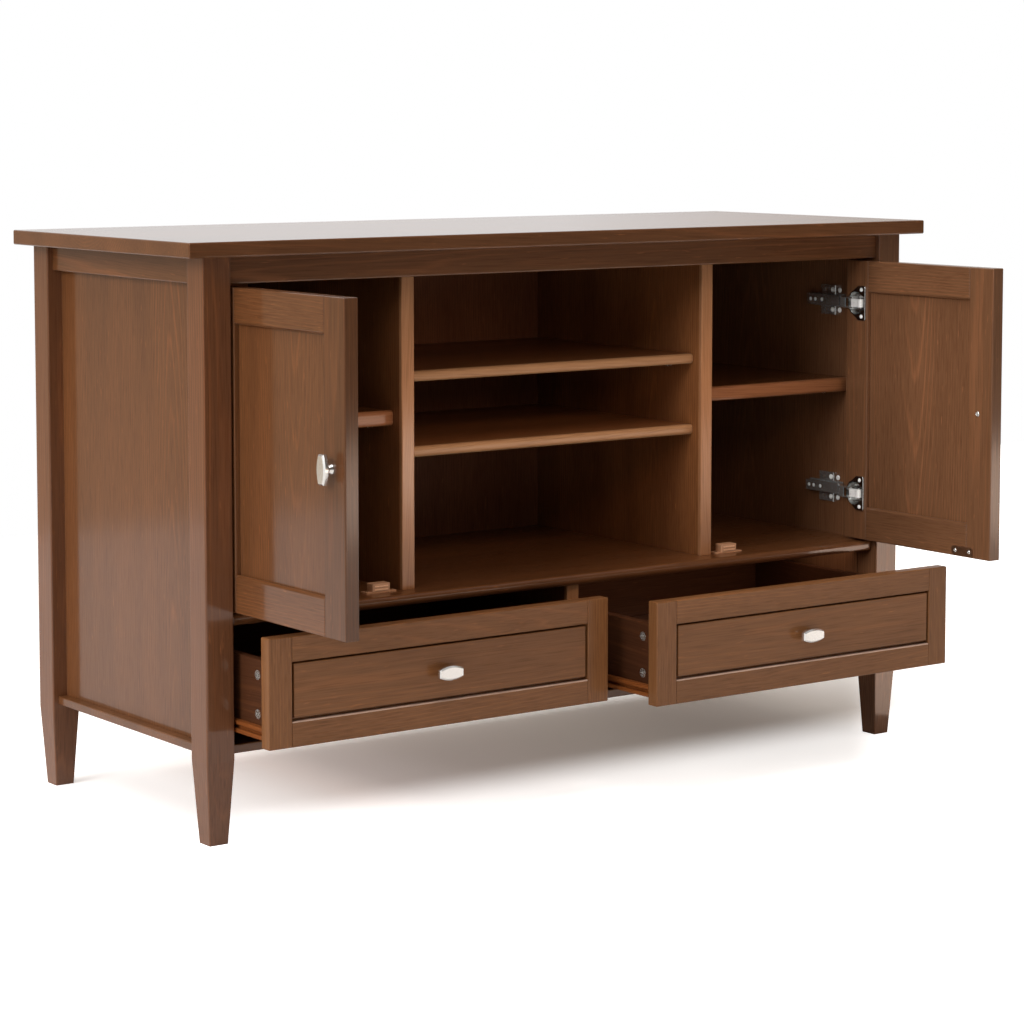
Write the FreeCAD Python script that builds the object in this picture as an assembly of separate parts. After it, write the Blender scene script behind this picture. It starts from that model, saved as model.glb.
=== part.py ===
import FreeCAD, Part
import math
import os

# TV stand: two framed doors, an open bay with shelves and two drawers on four tapered legs.
# Millimetres. +X to the right, the front faces -Y, +Z up. The doors stand open at a right angle and
# the drawers are pulled out. The origin is on the floor, under the middle of all that.

# Top board
top_width = 1194.0
top_depth = 460.0
top_thick = 19.0
side_overhang = 29.0
front_overhang = 19.0
back_overhang = 0.0
board_ease = 2.0

# Legs
stand_height = 717.5
leg_size = 39.0
leg_ease = 2.0
foot_size = 26.0
taper_height = 104.0

# Frame between the legs
frame_recess = 8.0
rail_height = 33.5
apron_thick = 18.0
panel_recess = 20.5
back_thick = 5.0
tongue_thick = 8.0
tongue_length = 8.0
joint_play = 0.2

# Boards inside
edge_ease = 1.5
floor_gap = 110.0
bottom_thick = 11.0
deck_top = 281.5
deck_thick = 14.5
deck_nose = 6.0
deck_corner = 7.0
bay_width = 272.5
divider_thick = 19.5
divider_setback = 39.2
partition_thick = 19.5
partition_setback = 16.6

# Shelves and their pins
shelf_thick = 14.0
shelf_setback = 57.0
shelf_heights = (448.0, 545.5)
bay_shelf_thick = 20.0
bay_shelf_setback = 59.0
bay_shelf_height = 491.0
shelf_nose = 5.0
shelf_side_gap = 0.5
shelf_back_gap = 3.5
pin_bore = 5.0
pin_depth = 8.0
pin_head = 8.0
pin_reach = 7.0
pin_inset = 50.0

# Doors
door_thick = 19.0
door_recess = 17.5
door_side_gap = 2.5
door_top_gap = 3.5
door_bottom_gap = 3.0
door_stile = 44.5
door_top_rail = 44.5
door_bottom_rail = 47.0
door_panel_thick = 6.0
door_panel_recess = 7.0
groove_depth = 9.0
panel_float = 1.0
rail_bevel = 2.6
door_ease = 1.5
joint_ease = 1.2
joint_nick = 0.8
open_gap = 2.8
open_setback = 44.0

# Concealed hinges
hinge_rise = 65.5
hinge_drop = 60.0
cup_radius = 17.5
cup_inset = 22.5
cup_wall = 1.2
cup_floor = 5.4
cup_floor_thick = 0.8
flange_thick = 0.8
flange_rise = 2.6
flange_height = 49.0
flange_wing = 15.0
flange_neck = 11.0
flange_waist = 13.0
flange_channel = 19.0
flange_lip = 2.6
flange_corner = 3.0
flange_ease = 1.0
cup_pin_inset = 31.5
cup_pin_proud = 1.5
hinge_pin_radius = 1.2
link_swing = 150.0
link_radius = 2.6
link_eye = 5.0
link_height = 11.2
hinge_play = 0.3
ear_thick = 1.2
arm_height = 15.0
arm_sheet = 1.5
arm_nose = 2.2
arm_depth = 8.0
arm_window = 14.0
arm_bend_start = 22.0
arm_bend_end = 42.0
arm_length = 112.0
arm_bore = 5.6
arm_bores = (81.0, 95.0, 105.0)
plate_thick = 3.0
plate_start = 45.0
plate_length = 34.0
plate_height = 42.0
plate_spine = 18.0
plate_lip = 6.5
plate_lip_thick = 1.8
plate_lip_ease = 1.2
plate_screw_bore = 5.0
plate_screw_pitch_y = 15.0
plate_screw_pitch_z = 28.5

# Magnetic catches
strike_thick = 1.2
strike_length = 40.0
strike_height = 12.0
strike_corner = 4.0
strike_inset = 51.5
strike_rise = 8.0
catch_gap = 0.8
catch_width = 27.0
catch_depth = 14.0
catch_height = 12.0
catch_wing = 9.0
catch_wing_thick = 1.8
catch_corner = 1.5
pole_width = 20.0
pole_thick = 1.8
pole_proud = 0.8
pole_rises = (3.4, 7.6)

# Drawers
drawer_gap = 2.75
drawer_top_gap = 3.3
drawer_bottom_gap = 7.0
drawer_recess = 9.0
drawer_front_thick = 18.0
drawer_stile = 33.0
drawer_rail = 31.5
drawer_rail_ease = 2.0
drawer_panel_recess = 1.0
drawer_panel_step = 8.0
drawer_panel_tongue = 6.0
panel_gap_side = 3.2
panel_gap_top = 2.2
panel_gap_bottom = 4.2
drawer_side_thick = 12.0
drawer_side_height = 80.0
drawer_side_gap = 10.0
drawer_length = 375.0
drawer_back_drop = 6.0
drawer_floor_thick = 4.0
drawer_floor_rise = 9.0
drawer_floor_groove = 6.0
runner_proud = 7.0
runner_under = 9.0
runner_height = 15.0
runner_lift = 17.0
runner_groove = 5.0
runner_groove_depth = 5.0
guide_play = 0.3
guide_base = 2.4
guide_start = 45.0
guide_end = 12.0
cam_radius = 6.0
cam_depth = 5.4
cam_setback = 20.0
cam_slot = 1.6
cam_rises = (13.0, 61.0)
left_drawer_pull = 84.6
right_drawer_pull = 153.9

# Knobs
knob_length = 36.0
knob_waist = 18.0
knob_end = 10.0
knob_thick = 8.0
knob_bevel = 2.0
knob_reach = 17.0
knob_inset = 26.5
stem_radius = 4.0
stem_flare = 6.0

# Places that follow from the sizes above
leg_span_x = top_width - 2 * side_overhang
leg_span_y = top_depth - front_overhang - back_overhang
door_width = bay_width + divider_thick - door_side_gap
door_reach = door_width - open_setback
outer_x = -leg_span_x / 2
front_y = (door_reach - leg_span_y - back_overhang) / 2
back_y = front_y + leg_span_y
wall_x = outer_x + leg_size
panel_x = outer_x + panel_recess
rail_x = outer_x + frame_recess
back_panel_y = back_y - panel_recess - back_thick
rail_z = stand_height - rail_height
bottom_top = floor_gap + bottom_thick
deck_under = deck_top - deck_thick
divider_x = wall_x + bay_width
bay_inner_x = divider_x + divider_thick
shelf_back_y = back_panel_y - shelf_back_gap

door_z0 = deck_top + door_bottom_gap
door_z1 = rail_z - door_top_gap
door_open_x = wall_x + open_gap
door_open_y = front_y + open_setback
hinge_zs = (door_z0 + hinge_rise, door_z1 - hinge_drop)

os.makedirs("parts", exist_ok=True)


def vec(x, y, z=0.0):
    return FreeCAD.Vector(x, y, z)


def block(x0, x1, y0, y1, z0, z1):
    """Box between two corners."""
    return Part.makeBox(x1 - x0, y1 - y0, z1 - z0, vec(x0, y0, z0))


def rod(radius, length, base, axis):
    return Part.makeCylinder(radius, length, base, axis)


def mirrored(shape):
    """The same piece on the other side of the stand."""
    return shape.mirror(vec(0, 0), vec(1, 0))


def moved(shape, x, y, z=0.0):
    result = shape.copy()
    result.translate(vec(x, y, z))
    return result


def eased(shape, radius, test):
    """Round the edges whose middle passes the test."""
    edges = [e for e in shape.Edges if test(e, e.CenterOfMass)]
    return shape.makeFillet(radius, edges)


def prism(points, z0, z1):
    """Upright solid over a closed outline."""
    wire = Part.makePolygon([vec(x, y, z0) for x, y in points + points[:1]])
    return Part.Face(wire).extrude(vec(0, 0, z1 - z0))


def nicked(rail, x0, x1, y0, y1, z0, z1):
    """Rail with the four upright edges of its ends bevelled, which draws the joint lines."""
    for x, into_x in ((x0, joint_nick), (x1, -joint_nick)):
        for y, into_y in ((y0, joint_nick), (y1, -joint_nick)):
            rail = rail.cut(prism([(x, y), (x + into_x, y), (x, y + into_y)], z0, z1))
    return rail


def rounded_square(size, radius, z):
    """Square outline with rounded corners, centred on the origin."""
    h = size / 2
    k = radius * (1 - math.sqrt(0.5))
    edges = []
    for turn in range(4):
        spin = FreeCAD.Rotation(vec(0, 0, 1), 90 * turn)
        a, b, c, d = [spin.multVec(p) + vec(0, 0, z) for p in (
            vec(-h + radius, -h), vec(h - radius, -h), vec(h - k, -h + k), vec(h, -h + radius))]
        edges.append(Part.makeLine(a, b))
        edges.append(Part.Arc(b, c, d).toShape())
    return Part.Wire(edges)


def save(name, *solids):
    shape = solids[0] if len(solids) == 1 else Part.makeCompound(list(solids))
    shape.exportStep(os.path.join("parts", name + ".step"))


# Top board
top_board = block(outer_x - side_overhang, -outer_x + side_overhang, front_y - front_overhang,
                  back_y + back_overhang, stand_height, stand_height + top_thick)
save("top_board", top_board.makeFillet(board_ease, top_board.Edges))


# Legs: a rounded square post on a tapered foot, grooved for the panels and rails it holds
def leg_blank():
    post = Part.Face(rounded_square(leg_size, leg_ease, taper_height))
    post = post.extrude(vec(0, 0, stand_height - taper_height))
    foot = Part.makeLoft([rounded_square(foot_size, leg_ease * foot_size / leg_size, 0),
                          rounded_square(leg_size, leg_ease, taper_height)], True, True)
    return post.fuse(foot).removeSplitter()


side_mid_x = panel_x + (leg_size - panel_recess) / 2
groove_half = tongue_thick / 2 + joint_play
groove_reach = tongue_length + joint_play
apron_mid_y = front_y + frame_recess + apron_thick / 2
side_front_y = front_y + leg_size
side_back_y = back_y - leg_size

front_leg = moved(leg_blank(), outer_x + leg_size / 2, front_y + leg_size / 2)
front_leg = front_leg.cut(block(side_mid_x - groove_half, side_mid_x + groove_half,
                                side_front_y - groove_reach, side_front_y, bottom_top, stand_height))
front_leg = front_leg.cut(block(wall_x - groove_reach, wall_x, apron_mid_y - groove_half,
                                apron_mid_y + groove_half, rail_z, stand_height))
back_leg = moved(leg_blank(), outer_x + leg_size / 2, back_y - leg_size / 2)
back_leg = back_leg.cut(block(side_mid_x - groove_half, side_mid_x + groove_half,
                              side_back_y, side_back_y + groove_reach, bottom_top, stand_height))
back_leg = back_leg.cut(block(wall_x - groove_reach, wall_x, back_panel_y - joint_play,
                              back_panel_y + back_thick + joint_play, bottom_top, stand_height))
save("leg_front_left", front_leg)
save("leg_front_right", mirrored(front_leg))
save("leg_back_left", back_leg)
save("leg_back_right", mirrored(back_leg))

# Rails under the top board
apron = block(wall_x, -wall_x, front_y + frame_recess, front_y + frame_recess + apron_thick,
              rail_z, stand_height)
apron = eased(apron, edge_ease, lambda e, c: abs(c.z - rail_z) < 0.01 and abs(c.x) < 1)
apron = apron.fuse([block(x0, x0 + tongue_length, apron_mid_y - tongue_thick / 2,
                          apron_mid_y + tongue_thick / 2, rail_z + joint_play, stand_height)
                    for x0 in (wall_x - tongue_length, -wall_x)]).removeSplitter()
save("front_apron", apron)
save("back_top_rail", block(wall_x, -wall_x, back_panel_y + back_thick, back_y - frame_recess,
                            rail_z, stand_height))
side_rail = block(rail_x, panel_x, side_front_y, side_back_y, rail_z, stand_height)
side_rail = eased(side_rail, edge_ease, lambda e, c: c.x < rail_x + 0.01 and c.z < rail_z + 0.01)
save("side_top_rails", side_rail, mirrored(side_rail))

# Side panels, tongued into the legs and flush with them inside
side_panel = block(panel_x, wall_x, side_front_y, side_back_y, bottom_top, stand_height)
side_panel = side_panel.fuse(block(
    side_mid_x - tongue_thick / 2, side_mid_x + tongue_thick / 2, side_front_y - tongue_length,
    side_back_y + tongue_length, bottom_top, stand_height)).removeSplitter()
save("back_panel", block(wall_x - tongue_length, -wall_x + tongue_length, back_panel_y,
                         back_panel_y + back_thick, bottom_top, stand_height))

# Bottom board, notched round the four legs
bottom_board = block(rail_x, -rail_x, front_y + frame_recess, back_y - frame_recess,
                     floor_gap, bottom_top)
bottom_board = eased(bottom_board, edge_ease, lambda e, c: abs(c.z - floor_gap - bottom_thick / 2) > 1)
for leg_x in (outer_x, -wall_x):
    for leg_y in (front_y, side_back_y):
        bottom_board = bottom_board.cut(block(leg_x, leg_x + leg_size, leg_y, leg_y + leg_size,
                                              floor_gap, bottom_top))
save("bottom_board", bottom_board)

# Deck between doors and drawers
deck_y = front_y + frame_recess
deck = block(wall_x, -wall_x, deck_y, back_panel_y, deck_under, deck_top)
deck = eased(deck, deck_nose, lambda e, c: c.y < deck_y + 0.01 and abs(c.x) < 1)
for end_x, corner_x in ((wall_x, wall_x + deck_corner), (-wall_x, -wall_x - deck_corner)):
    corner = block(min(end_x, corner_x), max(end_x, corner_x), deck_y, deck_y + deck_corner,
                   deck_under, deck_top)
    deck = deck.cut(corner.cut(rod(deck_corner, deck_thick, vec(corner_x, deck_y + deck_corner, deck_under),
                                   vec(0, 0, 1))))
save("cabinet_deck", deck)
partition = block(-partition_thick / 2, partition_thick / 2, front_y + partition_setback, back_panel_y,
                  bottom_top, deck_under)
save("drawer_partition", eased(partition, edge_ease, lambda e, c: abs(c.x) > 1
                               and c.y < front_y + partition_setback + 0.01))


# Shelves and the stepped pins that carry them
def shelf(x0, x1, setback, thick, z0):
    board = block(x0 + shelf_side_gap, x1 - shelf_side_gap, front_y + setback, shelf_back_y,
                  z0, z0 + thick)
    return eased(board, shelf_nose, lambda e, c: c.y < front_y + setback + 0.01
                 and abs(c.x - (x0 + x1) / 2) < 1)


def pin_places(setback, z0):
    return [(y, z0 - pin_bore / 2) for y in (front_y + setback + pin_inset, shelf_back_y - pin_inset)]


def pin(x, side, y, z):
    """Shelf pin in a wall at x; side is the way that it points into the bay."""
    stem = rod(pin_bore / 2, pin_depth, vec(x, y, z), vec(-side, 0))
    head = rod(pin_head / 2, pin_reach, vec(x, y, z), vec(side, 0))
    cap = block(x - pin_reach, x + pin_reach, y - pin_head, y + pin_head,
                z + pin_bore / 2, z + pin_head)
    return stem.fuse(head.cut(cap)).removeSplitter()


def bored(board, x, side, places):
    for y, z in places:
        board = board.cut(rod(pin_bore / 2, pin_depth + joint_play, vec(x, y, z), vec(-side, 0)))
    return board


bay_places = pin_places(bay_shelf_setback, bay_shelf_height)
open_places = [p for z0 in shelf_heights for p in pin_places(shelf_setback, z0)]
divider = block(divider_x, bay_inner_x, front_y + divider_setback, back_panel_y,
                deck_top, stand_height)
divider = eased(divider, edge_ease, lambda e, c: c.y < front_y + divider_setback + 0.01
                and abs(c.x - divider_x - divider_thick / 2) > 1)
divider = bored(bored(divider, divider_x, -1, bay_places), bay_inner_x, 1, open_places)
side_panel = bored(side_panel, wall_x, 1, bay_places)
left_pins = [pin(wall_x, 1, y, z) for y, z in bay_places]
left_pins += [pin(divider_x, -1, y, z) for y, z in bay_places]
left_pins += [pin(bay_inner_x, 1, y, z) for y, z in open_places]
bay_shelf = shelf(wall_x, divider_x, bay_shelf_setback, bay_shelf_thick, bay_shelf_height)

save("side_panel_left", side_panel)
save("side_panel_right", mirrored(side_panel))
save("divider_left", divider)
save("divider_right", mirrored(divider))
save("bay_shelf_left", bay_shelf)
save("bay_shelf_right", mirrored(bay_shelf))
save("centre_shelf_lower", shelf(bay_inner_x, -bay_inner_x, shelf_setback, shelf_thick, shelf_heights[0]))
save("centre_shelf_upper", shelf(bay_inner_x, -bay_inner_x, shelf_setback, shelf_thick, shelf_heights[1]))
save("shelf_pins", *(left_pins + [mirrored(p) for p in left_pins]))


# Oval knob with square-cut ends, pointing along -Y from the origin, its long side along X
def knob_outline(inset, y):
    half_x = knob_length / 2 - inset
    half_end = knob_end / 2 - inset / 2
    half_mid = knob_waist / 2 - inset
    corners = [vec(-half_x, y, -half_end), vec(half_x, y, -half_end),
               vec(half_x, y, half_end), vec(-half_x, y, half_end)]
    return Part.Wire([Part.Arc(corners[0], vec(0, y, -half_mid), corners[1]).toShape(),
                      Part.makeLine(corners[1], corners[2]),
                      Part.Arc(corners[2], vec(0, y, half_mid), corners[3]).toShape(),
                      Part.makeLine(corners[3], corners[0])])


def knob():
    neck = knob_reach - knob_thick
    head = Part.makeLoft([knob_outline(knob_bevel, -neck), knob_outline(0, -neck - knob_bevel),
                          knob_outline(0, -knob_reach + knob_bevel),
                          knob_outline(knob_bevel, -knob_reach)], True, True)
    profile = Part.makePolygon([vec(0, 0), vec(stem_flare, 0), vec(stem_flare, -knob_bevel),
                                vec(stem_radius, -stem_flare), vec(stem_radius, -neck - knob_bevel),
                                vec(0, -neck - knob_bevel), vec(0, 0)])
    stem = Part.Face(profile).revolve(vec(0, 0), vec(0, 1), 360)
    return head.fuse(stem).removeSplitter()


# Doors, drawn shut with the hinge edge at x = 0 and the front face at y = 0, then stood open
panel_mid = door_panel_recess + door_panel_thick / 2
groove_wide = door_panel_thick + 2 * joint_play
inner_x0 = door_stile
inner_x1 = door_width - door_stile
inner_z0 = door_z0 + door_bottom_rail
inner_z1 = door_z1 - door_top_rail
door_mid_z = (door_z0 + door_z1) / 2
cup_pin_x = cup_pin_inset
cup_pin_y = door_thick + cup_pin_proud


def groove(x0, x1, z0, z1):
    return block(x0, x1, panel_mid - groove_wide / 2, panel_mid + groove_wide / 2, z0, z1)


def tongue(x0, x1, z0, z1):
    return block(x0, x1, panel_mid - door_panel_thick / 2, panel_mid + door_panel_thick / 2, z0, z1)


def door_rail(z0, z1, inner, into):
    """Cross rail with a tongue at each end; inner is the edge that holds the panel."""
    rail = block(inner_x0, inner_x1, 0, door_thick, z0, z1)
    rail = eased(rail, door_ease, lambda e, c: abs(c.z - inner) > z1 - z0 - 0.01
                 and abs(c.x - door_width / 2) < 1)
    bevel_edges = [e for e in rail.Edges if abs(e.CenterOfMass.z - inner) < 0.01
                   and abs(e.CenterOfMass.x - door_width / 2) < 1]
    rail = rail.makeChamfer(rail_bevel, bevel_edges)
    rail = nicked(rail, inner_x0, inner_x1, 0, door_thick, z0, z1)
    reach = groove_depth - panel_float
    rail = rail.fuse(tongue(inner_x0 - reach, inner_x1 + reach, z0, z1)).removeSplitter()
    low, high = sorted((inner, inner + into * groove_depth))
    return rail.cut(groove(inner_x0 - reach, inner_x1 + reach, low, high))


def hinge_cup(z):
    """Flanged cup in the door's back, with two ears that hold the link's pin."""
    back = vec(0, 1)
    bowl = rod(cup_radius, door_thick - cup_floor, vec(cup_inset, cup_floor, z), back)
    far_x = cup_inset + cup_radius + cup_wall
    half = flange_height / 2
    outline = [(far_x, -half), (far_x - flange_wing, -half), (cup_inset - flange_neck, -flange_waist),
               (cup_inset - flange_neck, flange_waist), (far_x - flange_wing, half), (far_x, half)]
    edge = Part.makePolygon([vec(x, door_thick, z + dz) for x, dz in outline + outline[:1]])
    flange = Part.Face(edge).extrude(vec(0, flange_rise))
    flange = eased(flange, flange_corner, lambda e, c: abs(c.y - door_thick - flange_rise / 2) < 0.01
                   and abs(c.z - z) > flange_waist + 1)
    flange = eased(flange, flange_ease, lambda e, c: c.y > door_thick + flange_rise - 0.01)
    flange = flange.cut(block(0, far_x - flange_lip, door_thick + flange_thick, door_thick + flange_rise,
                              z - flange_channel / 2, z + flange_channel / 2))
    rim = rod(cup_radius + cup_wall, flange_thick, vec(cup_inset, door_thick, z), back)
    cup = bowl.fuse([flange, rim])
    cup = cup.cut(rod(cup_radius - cup_wall, door_thick, vec(cup_inset, cup_floor + cup_floor_thick, z),
                      back))
    for side in (-1, 1):
        gap = link_height / 2 + 2 * hinge_play
        z0, z1 = sorted((z + side * gap, z + side * (gap + ear_thick)))
        ear = block(cup_pin_x - link_radius, cup_pin_x + link_radius, cup_floor, cup_pin_y, z0, z1)
        ear = ear.fuse(rod(link_radius, ear_thick, vec(cup_pin_x, cup_pin_y, z0), vec(0, 0, 1)))
        cup = cup.fuse(ear)
    half = link_height / 2 + 2 * hinge_play + ear_thick
    axle = rod(hinge_pin_radius, 2 * half, vec(cup_pin_x, cup_pin_y, z - half), vec(0, 0, 1))
    return cup.fuse(axle).removeSplitter()


stile = block(0, door_stile, 0, door_thick, door_z0, door_z1)
stile = eased(stile, door_ease, lambda e, c: c.x < door_stile - 0.01)
stile = eased(stile, joint_ease, lambda e, c: c.x > door_stile - 0.01 and abs(c.z - door_mid_z) < 1)
hinge_stile = stile.cut(groove(door_stile - groove_depth, door_stile, door_z0, door_z1))
for hinge_z in hinge_zs:
    hinge_stile = hinge_stile.cut(rod(cup_radius, door_thick, vec(cup_inset, cup_floor, hinge_z),
                                      vec(0, 1)))
free_stile = stile.mirror(vec(door_width / 2, 0), vec(1, 0))
free_stile = free_stile.cut(groove(inner_x1, inner_x1 + groove_depth, door_z0, door_z1))
door_panel = tongue(inner_x0 - groove_depth + panel_float, inner_x1 + groove_depth - panel_float,
                    inner_z0 - groove_depth + panel_float, inner_z1 + groove_depth - panel_float)
for hinge_z in hinge_zs:
    door_panel = door_panel.cut(rod(cup_radius + joint_play, door_thick, vec(cup_inset, 0, hinge_z),
                                    vec(0, 1)))
upright_knob = knob()
upright_knob.rotate(vec(0, 0), vec(0, 1), 90)
strike_x = door_width - strike_inset
strike_z = door_z0 + strike_rise
strike = block(strike_x - strike_length / 2, strike_x + strike_length / 2, door_thick,
               door_thick + strike_thick, strike_z - strike_height / 2, strike_z + strike_height / 2)
strike = eased(strike, strike_corner, lambda e, c: abs(c.y - door_thick - strike_thick / 2) < 0.01)
door_pieces = {
    "hinge_stile": [hinge_stile],
    "free_stile": [free_stile],
    "rails": [door_rail(inner_z1, door_z1, inner_z1, 1), door_rail(door_z0, inner_z0, inner_z0, -1)],
    "panel": [door_panel],
    "knob": [moved(upright_knob, door_width - knob_inset, 0, door_mid_z)],
    "strike_plate": [strike],
    "hinge_cups": [hinge_cup(z) for z in hinge_zs],
}
for piece, shapes in door_pieces.items():
    opened = []
    for shape in shapes:
        turned = shape.copy()
        turned.rotate(vec(0, 0), vec(0, 0, 1), -90)
        opened.append(moved(turned, door_open_x, door_open_y))
    save("left_door_" + piece, *opened)
    save("right_door_" + piece, *[mirrored(s) for s in opened])

# Hinge links: the arm's pin is the one point that carries the cup's pin from the open place to
# the shut one in a single turn
shut_pin = vec(wall_x + door_side_gap + cup_pin_x, front_y + door_recess + cup_pin_y)
open_pin = vec(door_open_x + cup_pin_y, door_open_y - cup_pin_x)
mid_pin = (shut_pin + open_pin) * 0.5
half_chord = (shut_pin - open_pin) * 0.5
arm_pin = mid_pin + vec(-half_chord.y, half_chord.x) / math.tan(math.radians(link_swing / 2))
print("arm pin", round(arm_pin.x, 3), round(arm_pin.y, 3))
print("cup pin", round(open_pin.x, 3), round(open_pin.y, 3))


def link(z):
    """Bar between the two pins, with a bushed eye at each end."""
    z0 = z - link_height / 2
    along = open_pin - arm_pin
    across = vec(-along.y, along.x) * (link_radius / along.Length)
    corners = [arm_pin + across, open_pin + across, open_pin - across, arm_pin - across]
    bar = prism([(c.x, c.y) for c in corners], z0, z0 + link_height)
    for p, radius in ((arm_pin, link_radius), (open_pin, link_eye)):
        bar = bar.fuse(rod(radius, link_height, vec(p.x, p.y, z0), vec(0, 0, 1)))
    for p in (arm_pin, open_pin):
        bar = bar.cut(rod(hinge_pin_radius + hinge_play, link_height, vec(p.x, p.y, z0), vec(0, 0, 1)))
    return bar.removeSplitter()


def hinge_arm(z):
    """Cranked channel from the mounting plate to the arm's pin, open on the wall's side."""
    z0 = z - arm_height / 2
    z1 = z + arm_height / 2
    seat_x = wall_x + plate_thick
    near_x = arm_pin.x - arm_nose
    far_x = arm_pin.x + arm_nose
    bend_y0 = arm_pin.y + arm_bend_start
    bend_y1 = arm_pin.y + arm_bend_end
    end_y = arm_pin.y + arm_length
    outer = [(far_x, arm_pin.y), (far_x, bend_y0 + arm_nose), (seat_x + arm_depth, bend_y1 + arm_nose),
             (seat_x + arm_depth, end_y)]
    inner = [(seat_x, end_y), (seat_x, bend_y1 - arm_nose), (near_x, bend_y0 - arm_nose),
             (near_x, arm_pin.y)]
    body = prism(outer + inner, z0, z1)
    body = body.fuse(rod(arm_nose, arm_height, vec(arm_pin.x, arm_pin.y, z0), vec(0, 0, 1)))
    web = [(x - arm_sheet, y) for x, y in outer]
    hollow = [(web[0][0], arm_pin.y + arm_window)] + web[1:3] + [(web[3][0], end_y - arm_sheet)]
    hollow += [(seat_x - arm_depth, end_y - arm_sheet), (seat_x - arm_depth, arm_pin.y + arm_window)]
    body = body.cut(prism(hollow, z0 + arm_sheet, z1 - arm_sheet))
    body = body.cut(block(near_x - arm_nose, far_x + arm_nose, arm_pin.y - 2 * arm_nose,
                          arm_pin.y + arm_window, z0 + arm_sheet, z1 - arm_sheet))
    for along in arm_bores:
        body = body.cut(rod(arm_bore / 2, 2 * arm_sheet, vec(web[3][0] - arm_sheet, arm_pin.y + along, z),
                            vec(1, 0)))
    axle = rod(hinge_pin_radius, arm_height, vec(arm_pin.x, arm_pin.y, z0), vec(0, 0, 1))
    return body.fuse(axle).removeSplitter()


def hinge_plate(z):
    """Winged plate screwed to the side panel, with a spine that the arm sits on."""
    y0 = side_front_y + plate_start
    y1 = y0 + plate_length
    plate = block(wall_x, wall_x + plate_thick, y0, y1, z - plate_height / 2, z + plate_height / 2)
    lip = block(wall_x, wall_x + plate_lip, y0, y0 + plate_lip_thick, z - plate_height / 2,
                z + plate_height / 2)
    lip = eased(lip, plate_lip_ease, lambda e, c: c.x > wall_x + plate_lip - 0.01 and c.y < y0 + 0.01)
    lip = lip.cut(block(wall_x + plate_thick, wall_x + plate_lip, y0, y1, z - plate_spine / 2,
                        z + plate_spine / 2))
    plate = plate.fuse(lip)
    spine = block(wall_x, wall_x + plate_thick, arm_pin.y + arm_bend_end, arm_pin.y + arm_length,
                  z - plate_spine / 2, z + plate_spine / 2)
    plate = plate.fuse(spine).removeSplitter()
    mid_y = (y0 + y1) / 2
    for dy in (-plate_screw_pitch_y / 2, plate_screw_pitch_y / 2):
        for dz in (-plate_screw_pitch_z / 2, plate_screw_pitch_z / 2):
            plate = plate.cut(rod(plate_screw_bore / 2, plate_thick, vec(wall_x, mid_y + dy, z + dz),
                                  vec(1, 0)))
    return plate


links = [link(z) for z in hinge_zs]
arms = [hinge_arm(z) for z in hinge_zs]
plates = [hinge_plate(z) for z in hinge_zs]
save("left_hinge_links", *links)
save("right_hinge_links", *[mirrored(s) for s in links])
save("hinge_arms", *(arms + [mirrored(s) for s in arms]))
save("hinge_plates", *(plates + [mirrored(s) for s in plates]))

# Magnetic catches on the deck, in line with the strike plates of the shut doors
catch_x = wall_x + door_side_gap + strike_x
pole_y = front_y + door_recess + door_thick + strike_thick + catch_gap
catch_y = pole_y + pole_proud


def pole(rise):
    z0 = deck_top + rise
    return block(catch_x - pole_width / 2, catch_x + pole_width / 2, pole_y,
                 catch_y + catch_depth - pole_proud, z0, z0 + pole_thick)


catch = block(catch_x - catch_width / 2, catch_x + catch_width / 2, catch_y, catch_y + catch_depth,
              deck_top, deck_top + catch_height)
catch = eased(catch, catch_corner, lambda e, c: c.z > deck_top + 1 and abs(c.x - catch_x) > 1)
catch = catch.fuse(block(catch_x - catch_width / 2 - catch_wing, catch_x + catch_width / 2 + catch_wing,
                         catch_y, catch_y + catch_depth, deck_top, deck_top + catch_wing_thick))
poles = [pole(rise) for rise in pole_rises]
for piece in poles:
    catch = catch.cut(piece)
save("catch_bodies", catch, mirrored(catch))
save("catch_poles", *(poles + [mirrored(p) for p in poles]))

# Drawers, drawn shut on the left side; the right one is its mirror image
drawer_x0 = wall_x + drawer_gap
drawer_x1 = -partition_thick / 2 - drawer_gap
drawer_z0 = bottom_top + drawer_bottom_gap
drawer_z1 = deck_under - drawer_top_gap
face_y = front_y + drawer_recess
box_y = face_y + drawer_front_thick
box_x0 = wall_x + drawer_side_gap
box_x1 = -partition_thick / 2 - drawer_side_gap
opening_x0 = drawer_x0 + drawer_stile
opening_x1 = drawer_x1 - drawer_stile
opening_z0 = drawer_z0 + drawer_rail
opening_z1 = drawer_z1 - drawer_rail
runner_z = bottom_top + runner_lift
side_z = runner_z + runner_height
floor_z = side_z + drawer_floor_rise
panel_y = face_y + drawer_panel_recess
tongue_y = panel_y + drawer_panel_step
box_mid_x = (box_x0 + box_x1) / 2


def across_box(shape):
    """The same piece at the drawer's other side."""
    return shape.mirror(vec(box_mid_x, 0), vec(1, 0))


def front_groove(x0, x1, z0, z1, play):
    return block(x0, x1, tongue_y - play, tongue_y + drawer_panel_tongue + play, z0, z1)


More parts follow.
